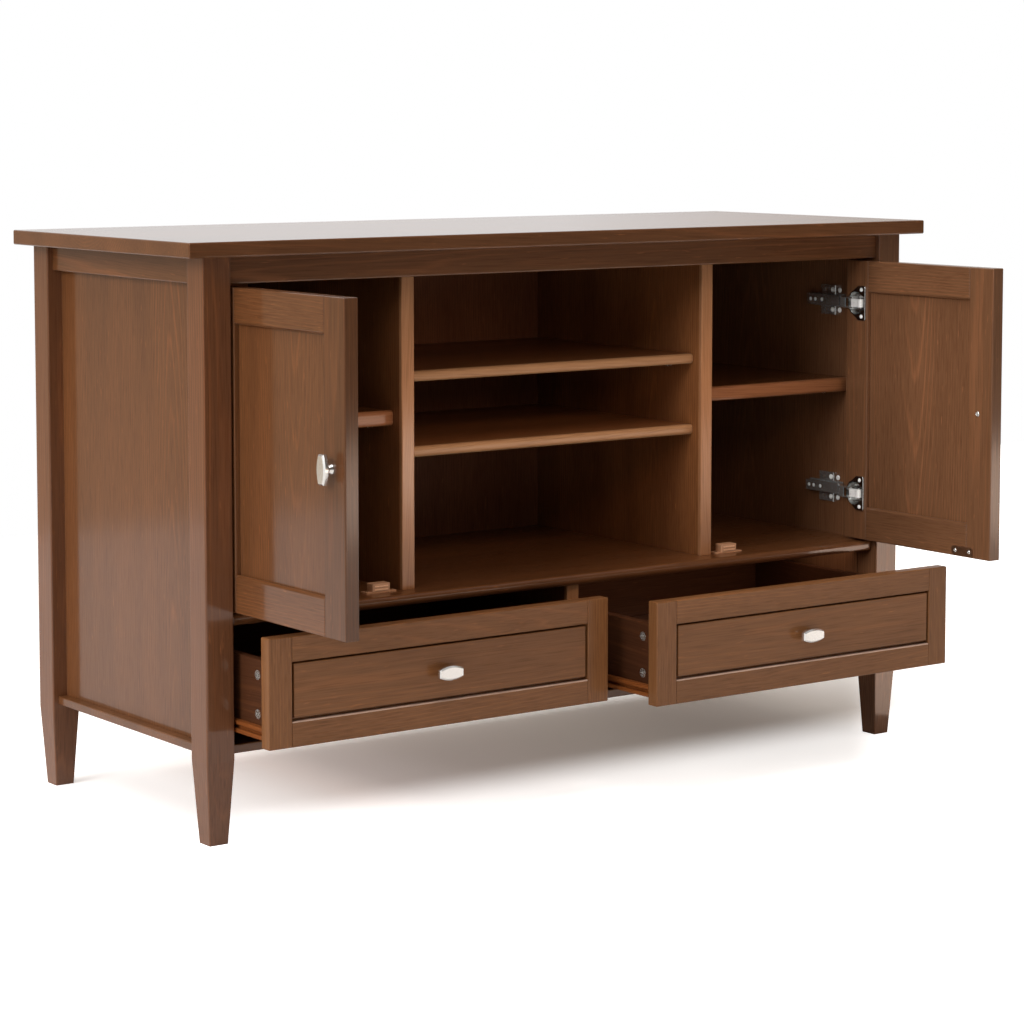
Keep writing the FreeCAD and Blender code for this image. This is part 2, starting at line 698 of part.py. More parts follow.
def front_rail(z0, z1, inner, into):
    rail = block(opening_x0, opening_x1, face_y, box_y, z0, z1)
    rail = eased(rail, door_ease, lambda e, c: abs(c.z - inner) > z1 - z0 - 0.01
                 and abs(c.x - box_mid_x) < 1)
    rail = eased(rail, drawer_rail_ease, lambda e, c: abs(c.z - inner) < 0.01 and c.y < face_y + 0.01)
    rail = nicked(rail, opening_x0, opening_x1, face_y, box_y, z0, z1)
    reach = groove_depth - panel_float
    rail = rail.fuse(front_groove(opening_x0 - reach, opening_x1 + reach, z0, z1, 0)).removeSplitter()
    low, high = sorted((inner, inner + into * groove_depth))
    return rail.cut(front_groove(opening_x0 - reach, opening_x1 + reach, low, high, joint_play))


reach = groove_depth - panel_float
front_stile = block(drawer_x0, opening_x0, face_y, box_y, drawer_z0, drawer_z1)
front_stile = eased(front_stile, door_ease, lambda e, c: c.x < opening_x0 - 0.01)
front_mid_z = (drawer_z0 + drawer_z1) / 2
front_stile = eased(front_stile, joint_ease, lambda e, c: c.x > opening_x0 - 0.01
                    and abs(c.z - front_mid_z) < 1)
front_stile = front_stile.cut(front_groove(opening_x0 - groove_depth, opening_x0, drawer_z0, drawer_z1,
                                           joint_play))
front_panel = block(opening_x0 + panel_gap_side, opening_x1 - panel_gap_side, panel_y, tongue_y,
                    opening_z0 + panel_gap_bottom, opening_z1 - panel_gap_top)
front_panel = eased(front_panel, edge_ease / 2, lambda e, c: c.y < panel_y + 0.01)
front_panel = front_panel.fuse(block(opening_x0, opening_x1, tongue_y, box_y, opening_z0, opening_z1))
front_panel = front_panel.fuse(front_groove(opening_x0 - reach, opening_x1 + reach, opening_z0 - reach,
                                            opening_z1 + reach, 0)).removeSplitter()

side = block(box_x0, box_x0 + drawer_side_thick, box_y, box_y + drawer_length, side_z,
             side_z + drawer_side_height)
side = eased(side, edge_ease, lambda e, c: c.z > side_z + drawer_side_height - 0.01
             and abs(c.x - box_x0 - drawer_side_thick / 2) > 1)
side = side.cut(block(box_x0 + drawer_side_thick - drawer_floor_groove, box_x0 + drawer_side_thick,
                      box_y, box_y + drawer_length, floor_z, floor_z + drawer_floor_thick))
cams = []
for rise in cam_rises:
    middle = vec(box_x0, box_y + cam_setback, side_z + rise)
    cam = rod(cam_radius, cam_depth, middle, vec(1, 0))
    side = side.cut(cam)
    for slot_y, slot_z in ((cam_slot, cam_radius), (cam_radius, cam_slot)):
        cam = cam.cut(block(box_x0, box_x0 + cam_slot, middle.y - slot_y / 2, middle.y + slot_y / 2,
                            middle.z - slot_z / 2, middle.z + slot_z / 2))
    cams.append(cam)

inner_box_x0 = box_x0 + drawer_side_thick
inner_box_x1 = box_x1 - drawer_side_thick
back_y0 = box_y + drawer_length - drawer_side_thick
drawer_back = block(inner_box_x0, inner_box_x1, back_y0, box_y + drawer_length,
                    floor_z + drawer_floor_thick, side_z + drawer_side_height - drawer_back_drop)
drawer_floor = block(inner_box_x0 - drawer_floor_groove + joint_play,
                     inner_box_x1 + drawer_floor_groove - joint_play,
                     box_y, box_y + drawer_length, floor_z, floor_z + drawer_floor_thick)

runner_x = box_x0 - runner_proud
groove_z = runner_z + (runner_height - runner_groove) / 2
runner = block(runner_x, box_x0 + runner_under, box_y, box_y + drawer_length, runner_z, side_z)
runner = runner.cut(block(runner_x, runner_x + runner_groove_depth, box_y, box_y + drawer_length,
                          groove_z, groove_z + runner_groove))
drawer_knob = moved(knob(), (drawer_x0 + drawer_x1) / 2, panel_y, front_mid_z)

drawer_pieces = {
    "front_stiles": [front_stile, across_box(front_stile)],
    "front_rails": [front_rail(opening_z1, drawer_z1, opening_z1, 1),
                    front_rail(drawer_z0, opening_z0, opening_z0, -1)],
    "front_panel": [front_panel],
    "sides": [side, across_box(side)],
    "back": [drawer_back],
    "bottom": [drawer_floor],
    "runners": [runner, across_box(runner)],
    "cams": cams + [across_box(c) for c in cams],
    "knob": [drawer_knob],
}
for piece, shapes in drawer_pieces.items():
    save("left_drawer_" + piece, *[moved(s, 0, -left_drawer_pull) for s in shapes])
    save("right_drawer_" + piece, *[moved(mirrored(s), 0, -right_drawer_pull) for s in shapes])

# Guides on the side panels and the partition, each with a tongue in its runner's groove
guide_y0 = front_y + guide_start
guide_y1 = back_panel_y - guide_end
guide = block(wall_x, wall_x + guide_base, guide_y0, guide_y1, runner_z, side_z)
guide = guide.fuse(block(wall_x, runner_x + runner_groove_depth - guide_play, guide_y0, guide_y1,
                         groove_z + 2 * guide_play, groove_z + runner_groove - guide_play))
guide = guide.removeSplitter()
guides = [guide, across_box(guide)]
save("drawer_guides", *(guides + [mirrored(g) for g in guides]))
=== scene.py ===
import math

import bpy
import numpy as np
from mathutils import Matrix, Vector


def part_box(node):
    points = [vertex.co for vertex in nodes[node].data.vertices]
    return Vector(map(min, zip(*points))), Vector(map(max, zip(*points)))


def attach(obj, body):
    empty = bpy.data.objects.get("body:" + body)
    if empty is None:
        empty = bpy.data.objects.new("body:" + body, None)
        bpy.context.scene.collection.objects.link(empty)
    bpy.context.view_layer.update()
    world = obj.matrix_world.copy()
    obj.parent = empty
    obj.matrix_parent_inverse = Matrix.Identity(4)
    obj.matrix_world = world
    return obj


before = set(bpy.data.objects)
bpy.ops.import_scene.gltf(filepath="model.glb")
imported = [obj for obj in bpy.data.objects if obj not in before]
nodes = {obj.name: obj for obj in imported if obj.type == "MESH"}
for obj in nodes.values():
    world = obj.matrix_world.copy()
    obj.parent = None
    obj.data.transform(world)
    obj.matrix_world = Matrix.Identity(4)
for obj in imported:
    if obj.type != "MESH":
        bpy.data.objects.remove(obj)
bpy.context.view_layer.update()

# TV stand in stained wood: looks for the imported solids, plus the small screws that the eye finds on
# the hinges, doors, drawers and catches. Metres, +Z up, the front faces -Y.

MM = 0.001


def rgba(code):
    """sRGB hex colour as linear RGBA: (c / 12.92) in the toe, ((c + 0.055) / 1.055) ** 2.4 above it."""
    parts = [int(code[i:i + 2], 16) / 255 for i in (1, 3, 5)]
    return tuple(c / 12.92 if c <= 0.04045 else ((c + 0.055) / 1.055) ** 2.4 for c in parts) + (1.0,)


def add(tree, kind, settings=None, stops=(), **sockets):
    """Add one node: settings are its properties, stops a colour ramp's (position, hex colour) pairs, and
    sockets its inputs by name, or by number as i0, i1 and so on, each as a value or a link. A new ramp has
    two elements, which take the first two stops."""
    node = tree.nodes.new("ShaderNode" + kind)
    for key, value in (settings or {}).items():
        setattr(node, key, value)
    for i, (position, code) in enumerate(stops):
        band = node.color_ramp.elements
        element = band[i] if i < 2 else band.new(position)
        element.position = position
        element.color = rgba(code)
    for key, value in sockets.items():
        name = key.replace("_", " ")
        socket = node.inputs[int(key[1:])] if key[1:].isdigit() else node.inputs[name]
        if isinstance(value, bpy.types.NodeSocket):
            tree.links.new(value, socket)
        else:
            socket.default_value = value
    return node


def new_material(name):
    material = bpy.data.materials.new(name)
    material.use_nodes = True
    material.node_tree.nodes.clear()
    return material, material.node_tree


# Camera: the photograph's view. It looks down only a little, and the frame is shifted down to the stand, so
# that uprights stay nearly parallel.
FRAME_PX = 1024
FOCAL_PX = 2952.1
SENSOR_MM = 36.0
CAMERA_TURN = math.radians(36.048)
CAMERA_PITCH = math.radians(5.067)
CAMERA_SHIFT_Y = -0.14
CAMERA_PLACE = (-2338.7 * MM, -3157.2 * MM, 896.4 * MM)

lens = bpy.data.cameras.new("camera")
lens.sensor_width = SENSOR_MM
lens.lens = FOCAL_PX / FRAME_PX * SENSOR_MM
lens.shift_y = CAMERA_SHIFT_Y
camera = bpy.data.objects.new("camera", lens)
camera.location = CAMERA_PLACE
camera.rotation_euler = (math.pi / 2 - CAMERA_PITCH, 0, -CAMERA_TURN)
bpy.context.scene.collection.objects.link(camera)
bpy.context.scene.camera = camera
bpy.context.scene.view_settings.view_transform = "Standard"

# World: a white studio to the camera and in reflections, darker where the room lies in front of the stand,
# with a white window at the front left. STUDIO_FILL is what lights matt surfaces. Each pair is the stretch
# of a direction's X or Y, which run from -1 to 1, over which one tone turns into the next.
STUDIO_WHITE = "#FFFFFF"
STUDIO_FRONT = "#463F3A"
STUDIO_LEFT = "#A48A60"
STUDIO_RIGHT = "#AA9E92"
STUDIO_FILL = "#9E9790"
FRONT_TO_BACK = (-0.55, 0.1)
LEFT_TO_MIDDLE = (-0.65, 0.1)
MIDDLE_TO_RIGHT = (0.6, 0.75)
WINDOW_BESIDE = (-0.5, -0.7)
WINDOW_BEFORE = (-0.12, -0.3)


def light_studio():
    world = bpy.data.worlds.new("studio")
    bpy.context.scene.world = world
    world.use_nodes = True
    tree = world.node_tree
    tree.nodes.clear()
    ray = add(tree, "LightPath").outputs
    toward = add(tree, "SeparateXYZ", Vector=add(tree, "TexCoord").outputs["Generated"]).outputs
    back, left, right, beside, before = (
        add(tree, "MapRange", Value=toward[axis], From_Min=start, From_Max=end).outputs[0]
        for axis, (start, end) in (("Y", FRONT_TO_BACK), ("X", LEFT_TO_MIDDLE), ("X", MIDDLE_TO_RIGHT),
                                   ("X", WINDOW_BESIDE), ("Y", WINDOW_BEFORE)))
    tone = add(tree, "MixRGB", Fac=left, Color1=rgba(STUDIO_LEFT), Color2=rgba(STUDIO_WHITE)).outputs[0]
    tone = add(tree, "MixRGB", Fac=right, Color1=tone, Color2=rgba(STUDIO_RIGHT)).outputs[0]
    tone = add(tree, "MixRGB", Fac=back, Color1=rgba(STUDIO_FRONT), Color2=tone).outputs[0]
    window = add(tree, "Math", {"operation": "MULTIPLY"}, i0=beside, i1=before).outputs[0]
    tone = add(tree, "MixRGB", Fac=window, Color1=tone, Color2=rgba(STUDIO_WHITE)).outputs[0]
    seen = add(tree, "Math", {"operation": "MAXIMUM"}, i0=ray["Is Glossy Ray"],
               i1=ray["Is Transmission Ray"]).outputs[0]
    tone = add(tree, "MixRGB", Fac=seen, Color1=rgba(STUDIO_FILL), Color2=tone).outputs[0]
    tone = add(tree, "MixRGB", Fac=ray["Is Camera Ray"], Color1=tone, Color2=rgba(STUDIO_WHITE)).outputs[0]
    backdrop = add(tree, "Background", Color=tone, Strength=1.0)
    add(tree, "OutputWorld", Surface=backdrop.outputs[0])


# Lamps: a soft key from the left and a wide soft top light, each as the way to it, its strength and its
# spread in degrees
SUNS = {
    "key": ((-0.90, -0.17, 0.42), 2.05, 32.0),
    "overhead": ((-0.34, 0.0, 0.94), 1.7, 46.0),
}

# Cards: a low strip out on the right and a small one near the right leg for the lacquer to mirror, and two
# narrow ones that open up the bays and the right drawer, all of one warm white. Each has its place, the way
# its back faces, its size, watts and spread, and whether it is there for reflections alone.
CARD_WHITE = "#FFE2CC"
CARDS = {
    "strip": ((1.35, -2.1, 0.13), (0.59, -0.81, 0.0), (1.5, 0.18), 4.3, 180.0, True),
    "leg_card": ((0.61, -0.16, 0.15), (0.59, -0.81, 0.0), (0.2, 0.3), 0.62, 180.0, True),
    "drawer_card": ((0.28, 0.0, 0.262), (0.0, 0.0, 1.0), (0.5, 0.1), 0.15, 180.0, False),
    "bay_card": ((0.0, -0.36, 0.64), (0.0, -0.8, 0.6), (0.9, 0.08), 0.45, 90.0, False),
}


def hang(name, lamp, place, back):
    """Hang a lamp at a place, turned so that its back faces the given way and its long side is level."""
    x, y, z = back
    holder = bpy.data.objects.new(name, lamp)
    holder.location = place
    holder.rotation_euler = (math.acos(z / math.sqrt(x * x + y * y + z * z)), 0, math.atan2(x, -y))
    bpy.context.scene.collection.objects.link(holder)
    return holder


def hang_lamps():
    for name, (toward, strength, spread) in SUNS.items():
        sun = bpy.data.lights.new(name, "SUN")
        sun.energy = strength
        sun.angle = math.radians(spread)
        hang(name, sun, (0, 0, 0), toward)
    for name, (place, back, (wide, high), watts, spread, mirrored) in CARDS.items():
        card = bpy.data.lights.new(name, "AREA")
        card.shape = "RECTANGLE"
        card.size = wide
        card.size_y = high
        card.energy = watts
        card.color = rgba(CARD_WHITE)[:3]
        card.spread = math.radians(spread)
        holder = hang(name, card, place, back)
        holder.visible_camera = False
        holder.visible_glossy = mirrored
        holder.visible_diffuse = not mirrored


# Floor: a white paper sheet just under the feet. To the camera it glows by the tones of GLOWS at these places
# from left to right, and by up to GLOW_MOST more in front of the stand and to the right of a slanting line.
FLOOR_X = (-2.6, 3.6)
FLOOR_Y = (-3.4, 2.4)
FLOOR_DROP = 0.3 * MM
FLOOR_CELLS = 40
PAPER_MOTTLE = 180 * MM
PAPER_RAMP = [(0.0, "#F4F3F2"), (1.0, "#F7F6F5")]
GLOW_SPAN = (-1.0, 1.5)
GLOWS = {-0.45: "#C8C4C2", -0.35: "#C8C0BC", -0.27: "#B6A9A3", -0.19: "#968B86", -0.05: "#827872",
         0.2: "#787069", 0.38: "#69625C", 0.52: "#69625C", 0.62: "#787069"}
GLOW_FRONT = (0.08, -0.10)
GLOW_RIGHT = (0.56, 0.70)
GLOW_SLANT = -0.9
GLOW_MOST = 0.6


def white_paper():
    """Matt white paper with a faint mottle; a glow to the camera only, stronger out to the left, in front
    and to the right, so that it ends in white and the shadow fades out from under the stand."""
    material, tree = new_material("white_paper_matt")
    spot = add(tree, "TexCoord").outputs["Object"]
    mottle = add(tree, "TexNoise", Vector=spot, Scale=1 / PAPER_MOTTLE, Detail=1.0).outputs[0]
    tone = add(tree, "ValToRGB", Fac=mottle, stops=PAPER_RAMP).outputs[0]
    paper = add(tree, "BsdfDiffuse", Color=tone).outputs[0]
    ray = add(tree, "LightPath").outputs
    place = add(tree, "SeparateXYZ", Vector=spot).outputs
    low, high = GLOW_SPAN
    share = add(tree, "MapRange", Value=place["X"], From_Min=low, From_Max=high).outputs[0]
    stops = [((x - low) / (high - low), code) for x, code in GLOWS.items()]
    across = add(tree, "ValToRGB", Fac=share, stops=stops).outputs[0]
    front = add(tree, "MapRange", {"interpolation_type": "SMOOTHSTEP"}, Value=place["Y"],
                From_Min=GLOW_FRONT[0], From_Max=GLOW_FRONT[1], To_Max=GLOW_MOST).outputs[0]
    slant = add(tree, "Math", {"operation": "MULTIPLY_ADD"}, i0=place["Y"], i1=GLOW_SLANT,
                i2=place["X"]).outputs[0]
    right = add(tree, "MapRange", {"interpolation_type": "SMOOTHSTEP"}, Value=slant,
                From_Min=GLOW_RIGHT[0], From_Max=GLOW_RIGHT[1], To_Max=GLOW_MOST).outputs[0]
    beyond = add(tree, "Math", {"operation": "ADD"}, i0=front, i1=right).outputs[0]
    glow = add(tree, "MixRGB", {"blend_type": "ADD"}, Fac=1.0, Color1=across, Color2=beyond).outputs[0]
    light = add(tree, "Emission", Color=glow, Strength=ray["Is Camera Ray"]).outputs[0]
    both = add(tree, "AddShader", i0=paper, i1=light)
    add(tree, "OutputMaterial", Surface=both.outputs[0])
    return material


def grid_faces(rows, columns, wrap):
    """Quads between neighbouring points of a rows x columns grid; wrap closes the columns into a ring."""
    row = np.arange(rows - 1)[:, None]
    column = np.arange(columns if wrap else columns - 1)[None, :]
    beside = (column + 1) % columns
    corners = [row * columns + column, row * columns + beside,
               (row + 1) * columns + beside, (row + 1) * columns + column]
    return np.stack(np.broadcast_arrays(*corners), -1).reshape(-1, 4)


def new_piece(name, points, faces, material):
    """Mesh object at the origin from an array of points and a list of face arrays."""
    mesh = bpy.data.meshes.new(name)
    mesh.from_pydata(points.tolist(), [], [f for block in faces for f in block.tolist()])
    mesh.materials.append(material)
    mesh.update()
    piece = bpy.data.objects.new(name, mesh)
    bpy.context.scene.collection.objects.link(piece)
    return piece


def lay_floor():
    """A level sheet: x and y run evenly over the grid, z is constant."""
    x, y = np.meshgrid(np.linspace(*FLOOR_X, FLOOR_CELLS), np.linspace(*FLOOR_Y, FLOOR_CELLS))
    points = np.stack([x, y, np.full_like(x, -FLOOR_DROP)], -1).reshape(-1, 3)
    floor = new_piece("floor", points, [grid_faces(FLOOR_CELLS, FLOOR_CELLS, False)], white_paper())


light_studio()
hang_lamps()
lay_floor()

# Wood: each board is sawn from its own place in a log, so its growth rings are cylinders about a pith
# line beside the board, tilted a little so that they run out in long arches. Edges are sanded round by
# EDGE_EASE. On the drawers' lower rails a painted highlight, a thin pale line ARRIS_UP above the foot of the
# rails, stands in for the light that their eased inner edge catches. Wander is counted in rings, and each
# value that ends in ALONG or starts with it says how far a pattern is drawn out along the grain.
RING_WIDTH = 4.4 * MM
RING_WANDER = 2.6
WANDER_SIZE = 45 * MM
FINE_WANDER = 0.5
FINE_WANDER_SIZE = 8 * MM
ALONG_GRAIN = 1 / 11
FIBRE_WIDTH = 1.6 * MM
FIBRE_ALONG = 1 / 45
FIBRE_FRAY = 0.6
CLOUD_SIZE = 60 * MM
FLECK_WIDTH = 3.0 * MM
FLECK_ALONG = 1 / 8
PITH_NEAR = 18 * MM
PITH_SPREAD = 45 * MM
PITH_SWAY = 0.6
WIDE_BOARD = 120 * MM
WIDE_TILT = math.radians(2.6)
NARROW_TILT = math.radians(0.7)
LIP_DEPTH = 6 * MM
GRAIN_BUMP = 0.12 * MM
EDGE_EASE = 1.4 * MM
EDGE_SAMPLES = 4
ARRIS_UP = 30.8 * MM
ARRIS_HALF = 0.8 * MM
# Painted highlight: the pale line on the drawers' lower rails stands in for light on their eased edge
ARRIS_HIGHLIGHT_TONE = "#C5A897"
GOLDEN = 0.618034
GRAIN_TURN = {"X": (0, math.pi / 2, 0), "Y": (-math.pi / 2, 0, 0), "Z": (0, 0, 0)}

# Patterns in the wood: how strong the growth line is through the year, and how the fibres thin the stain.
# Then the stretch of noise over which the lines, the cloud and the flecks come and go, and their shares at
# either end of it.
GROWTH_RAMP = [(0.0, "#383838"), (0.3, "#000000"), (0.62, "#202020"), (0.85, "#FFFFFF"), (1.0, "#383838")]
FIBRE_RAMP = [(0.28, "#D6D0CB"), (0.5, "#F5F2F0"), (0.72, "#FFFFFF")]
FIBRE_SHARE = 0.9
LINE_NOISE = (0.3, 0.7)
LINE_SHARE = (0.1, 0.6)
CLOUD_NOISE = (0.35, 0.75)
CLOUD_SHARE = (0.55, 0.0)
FLECK_NOISE = (0.69, 0.8)
FLECK_SHARE = (0.0, 0.5)

# Surface: fine grain under a sprayed lacquer
GRAIN_RELIEF = 0.3
GRAIN_ROUGHNESS = (0.5, 0.38)
GRAIN_SPECULAR = 0.08
LACQUER_ROUGHNESS = 0.12
LACQUER_IOR = 1.5

# Stains: colours of the ground between the growth lines, of the lines and of the soft cloud over both, then
# how full the lacquer is: semi-gloss on the frame and doors, satin on the drawers, the back and the boards of
# the open bay. The frame has lighter and deeper shades, and a paler, greyer shade with painted sheen in it.
# Inside is for the floors and backs of the drawers, a darker stain with painted shade for their sides, and
# pale for their runners. Painted light is in some stains too, as noted at each.
STAINS = {
    "frame": ("#6E4629", "#975C35", "#583720", 0.75),
    "light": ("#744B31", "#9C613B", "#5E3C27", 0.75),
    "deep": ("#633F25", "#8A5430", "#50311C", 0.75),
    # Drawer fronts: lighter and yellower, partly their own stain and partly painted light for the light that
    # the floor throws up onto them
    "drawer": ("#825735", "#9F673C", "#6A4629", 0.3),
    # Back panel: painted lighter and redder, painted light for the light that bounces round inside the
    # cabinet
    "back": ("#7A4C32", "#93603E", "#633B27", 0.3),
    # Paler and greyer: painted sheen for the light reflected from the right door, the right side and the
    # right front leg
    "dusty": ("#734F36", "#976443", "#5E402B", 0.75),
    "inside": ("#64402A", "#7E4F31", "#4F2F1E", 0.3),
    # Drawer sides: a darker stain, painted shade on sides that lie in shadow
    "dim": ("#4C2D1C", "#683F26", "#3B2215", 0.3),
    "pale": ("#8A4F26", "#B06F3A", "#6E3C1C", 0.3),
    # Boards of the open bay: painted lighter, painted light for the light that reaches into the bay
    "open": ("#875734", "#AB6C3D", "#6C4126", 0.3),
}

# Boards with a lipping on the front edge, and its lighter colour, which is partly the lipping's own and
# partly painted light on these front edges
LIPPED_AND_LIT = {
    "#A07855": ("centre_shelf_upper", "centre_shelf_lower"),
    "#8C5B3B": ("bay_shelf_left", "bay_shelf_right"),
    "#A2734F": ("divider_left", "divider_right", "drawer_partition"),
}


def board_axes(node, grain):
    """A board's two corners, and the numbers of its axes across the grain: thickness, then width."""
    low, high = (np.array(corner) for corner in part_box(node))
    across = [i for i in range(3) if "XYZ"[i] != grain]
    thin, wide = sorted(across, key=lambda i: high[i] - low[i])
    return low, high, thin, wide


def pith_place(node, serial, grain):
    """Where the log's heart lies: off the board's broad face by PITH_NEAR or more, and along its width."""
    low, high, thin, wide = board_axes(node, grain)
    chance = (serial * GOLDEN) % 1.0
    place = (low + high) / 2
    place[thin] += (PITH_NEAR + PITH_SPREAD * chance) * (1 if serial % 2 else -1)
    place[wide] += (chance - 0.5) * PITH_SWAY * (high[wide] - low[wide])
    return tuple(place)


def run_out(node, serial, grain):
    """Turn that tips the log's heart toward or away from the board's broad face: more on wide boards."""
    low, high, thin, wide = board_axes(node, grain)
    tilt = WIDE_TILT if high[wide] - low[wide] > WIDE_BOARD else NARROW_TILT
    turn = [0.0, 0.0, 0.0]
    turn[wide] = tilt * (1 if serial % 3 else -1)
    return turn


def stained_wood(node, serial, grain, stain):
    """Plain-sawn softwood, wiped brown stain under a sprayed semi-gloss lacquer.

    The eye gets long orange growth lines on a brown ground, fine fibres along the grain, and a clear
    wet-looking coat over all. Fibres are about 0.1 mm in the board and are drawn at 1.6 mm to show.
    """
    ground, line, shade, fullness = STAINS[stain]
    material, tree = new_material("stained_lacquered_wood_" + node)
    turn = np.add(GRAIN_TURN[grain], run_out(node, serial, grain))
    spot = add(tree, "TexCoord").outputs["Object"]
    log = add(tree, "Mapping", {"vector_type": "TEXTURE"}, Vector=spot,
              Location=pith_place(node, serial, grain), Rotation=turn).outputs[0]
    slow = add(tree, "Mapping", Vector=log, Scale=(1, 1, ALONG_GRAIN), Location=(serial, 0, 0)).outputs[0]
    thread = add(tree, "Mapping", Vector=log, Scale=(1, 1, FIBRE_ALONG)).outputs[0]
    dash = add(tree, "Mapping", Vector=log, Scale=(1, 1, FLECK_ALONG)).outputs[0]
    flat = add(tree, "Mapping", Vector=log, Scale=(1, 1, 0)).outputs[0]
    reach = add(tree, "VectorMath", {"operation": "LENGTH"}, i0=flat).outputs["Value"]
    wander = add(tree, "TexNoise", Vector=slow, Scale=1 / WANDER_SIZE, Detail=1.5).outputs[0]
    ripple = add(tree, "TexNoise", Vector=slow, Scale=1 / FINE_WANDER_SIZE, Detail=1.0).outputs[0]
    count = add(tree, "Math", {"operation": "MULTIPLY"}, i0=reach, i1=1 / RING_WIDTH).outputs[0]
    count = add(tree, "Math", {"operation": "MULTIPLY_ADD"}, i0=wander, i1=RING_WANDER, i2=count).outputs[0]
    count = add(tree, "Math", {"operation": "MULTIPLY_ADD"}, i0=ripple, i1=FINE_WANDER, i2=count).outputs[0]
    season = add(tree, "Math", {"operation": "FRACT"}, i0=count).outputs[0]
    growth = add(tree, "ValToRGB", Fac=season, stops=GROWTH_RAMP).outputs[0]
    cloud = add(tree, "TexNoise", Vector=slow, Scale=1 / CLOUD_SIZE, Detail=2.0).outputs[0]
    strong, drift = (
        add(tree, "MapRange", Value=cloud, From_Min=noise[0], From_Max=noise[1], To_Min=part[0],
            To_Max=part[1]).outputs[0]
        for noise, part in ((LINE_NOISE, LINE_SHARE), (CLOUD_NOISE, CLOUD_SHARE)))
    lines = add(tree, "Math", {"operation": "MULTIPLY"}, i0=growth, i1=strong).outputs[0]
    fibre = add(tree, "TexNoise", Vector=thread, Scale=1 / FIBRE_WIDTH, Detail=2.0,
                Roughness=FIBRE_FRAY).outputs[0]
    fleck = add(tree, "TexNoise", Vector=dash, Scale=1 / FLECK_WIDTH, Detail=1.0).outputs[0]
    fleck = add(tree, "MapRange", Value=fleck, From_Min=FLECK_NOISE[0], From_Max=FLECK_NOISE[1],
                To_Min=FLECK_SHARE[0], To_Max=FLECK_SHARE[1]).outputs[0]
    colour = add(tree, "MixRGB", Fac=lines, Color1=rgba(ground), Color2=rgba(line)).outputs[0]
    colour = add(tree, "MixRGB", Fac=drift, Color1=colour, Color2=rgba(shade)).outputs[0]
    colour = add(tree, "MixRGB", Fac=fleck, Color1=colour, Color2=rgba(line)).outputs[0]
    # The front edge, LIP_DEPTH deep, takes the lighter colour: a lipping, with painted light in it
    for lip_and_light_tone, lipped_and_lit in LIPPED_AND_LIT.items():
        if node in lipped_and_lit:
            depth = add(tree, "SeparateXYZ", Vector=spot).outputs["Y"]
            edge = add(tree, "Math", {"operation": "LESS_THAN"}, i0=depth,
                       i1=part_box(node)[0].y + LIP_DEPTH).outputs[0]
            colour = add(tree, "MixRGB", Fac=edge, Color1=colour, Color2=rgba(lip_and_light_tone)).outputs[0]
    # Painted highlight: a thin pale line ARRIS_UP above the rails' foot, where the eased inner edge catches
    # light
    if node.endswith("_front_rails"):
        up = add(tree, "SeparateXYZ", Vector=spot).outputs["Z"]
        arris_highlight = add(tree, "Math", {"operation": "COMPARE"}, i0=up, i1=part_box(node)[0].z + ARRIS_UP,
                    i2=ARRIS_HALF).outputs[0]
        colour = add(tree, "MixRGB", Fac=arris_highlight, Color1=colour, Color2=rgba(ARRIS_HIGHLIGHT_TONE)).outputs[0]
    thin = add(tree, "ValToRGB", Fac=fibre, stops=FIBRE_RAMP).outputs[0]
    colour = add(tree, "MixRGB", {"blend_type": "MULTIPLY"}, Fac=FIBRE_SHARE, Color1=colour,
                 Color2=thin).outputs[0]
    height = add(tree, "Math", {"operation": "ADD"}, i0=fibre, i1=lines).outputs[0]
    eased = add(tree, "Bevel", {"samples": EDGE_SAMPLES}, Radius=EDGE_EASE).outputs[0]
    relief = add(tree, "Bump", Height=height, Strength=GRAIN_RELIEF, Distance=GRAIN_BUMP,
                 Normal=eased).outputs[0]
    sheen = add(tree, "MapRange", Value=fibre, To_Min=GRAIN_ROUGHNESS[0],
                To_Max=GRAIN_ROUGHNESS[1]).outputs[0]
    wood = add(tree, "BsdfPrincipled", Base_Color=colour, Roughness=sheen, Normal=relief,
               Specular_IOR_Level=GRAIN_SPECULAR, Coat_Weight=fullness, Coat_Roughness=LACQUER_ROUGHNESS,
               Coat_IOR=LACQUER_IOR, Coat_Normal=eased)
    add(tree, "OutputMaterial", Surface=wood.outputs[0])
    return material


# Boards by the way their grain runs and by stain. Their order numbers them, and the number picks the log.
BOARDS = {
    ("X", "frame"): ("top_board", "front_apron", "back_top_rail", "bottom_board", "cabinet_deck",
                     "bay_shelf_left", "bay_shelf_right"),
    ("X", "open"): ("centre_shelf_upper", "centre_shelf_lower"),
    ("Y", "frame"): ("side_top_rails", "left_door_rails"),
    ("Y", "dusty"): ("right_door_rails",),
    ("Z", "frame"): ("side_panel_left", "left_door_hinge_stile", "left_door_panel", "divider_left",
                     "drawer_partition"),
    ("Z", "open"): ("divider_right",),
    ("Z", "dusty"): ("side_panel_right", "right_door_hinge_stile", "right_door_free_stile",
                     "right_door_panel", "leg_front_right"),
    ("Z", "light"): ("leg_front_left", "leg_back_left", "leg_back_right"),
    ("Z", "deep"): ("left_door_free_stile",),
    ("Z", "back"): ("back_panel",),
    ("X", "drawer"): ("left_drawer_front_rails", "left_drawer_front_panel", "right_drawer_front_rails",
                      "right_drawer_front_panel"),
    ("Z", "drawer"): ("left_drawer_front_stiles", "right_drawer_front_stiles"),
    ("X", "inside"): ("left_drawer_back", "right_drawer_back", "left_drawer_bottom", "right_drawer_bottom"),
    ("Y", "dim"): ("left_drawer_sides", "right_drawer_sides"),
    ("Y", "pale"): ("left_drawer_runners", "right_drawer_runners", "drawer_guides"),
}


